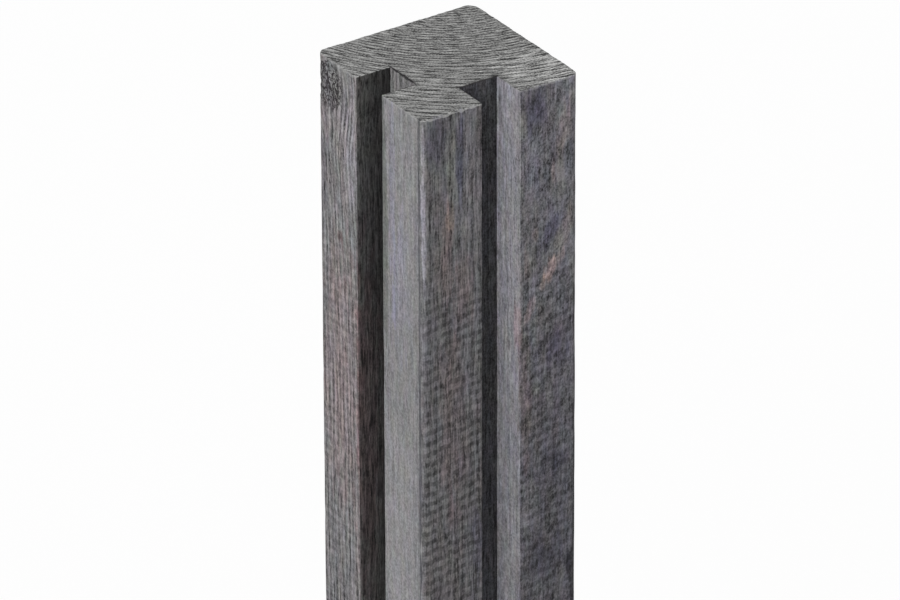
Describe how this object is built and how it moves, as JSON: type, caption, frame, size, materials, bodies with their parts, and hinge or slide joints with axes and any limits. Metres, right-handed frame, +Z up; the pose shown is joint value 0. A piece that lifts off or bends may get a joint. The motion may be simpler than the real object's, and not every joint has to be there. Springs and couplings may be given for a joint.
{
  "type": "corner fence post",
  "caption": "Square timber corner post with a full-length panel groove in each of two neighbouring faces, rounded arrises and a flat sawn top.",
  "frame": {"origin": "middle of the square foot, at the bottom end of the post", "axes": "+Z up along the post; the grooves open to -X and -Y, so the outer corner of the fence points to +X +Y"},
  "size_m": [0.09, 0.09, 2.7],
  "materials": {
    "weathered_wood": "brushed, grey stained softwood with sawn end grain"
  },
  "bodies": {
    "root": {"post": "weathered_wood"}
  },
  "joints": []
}
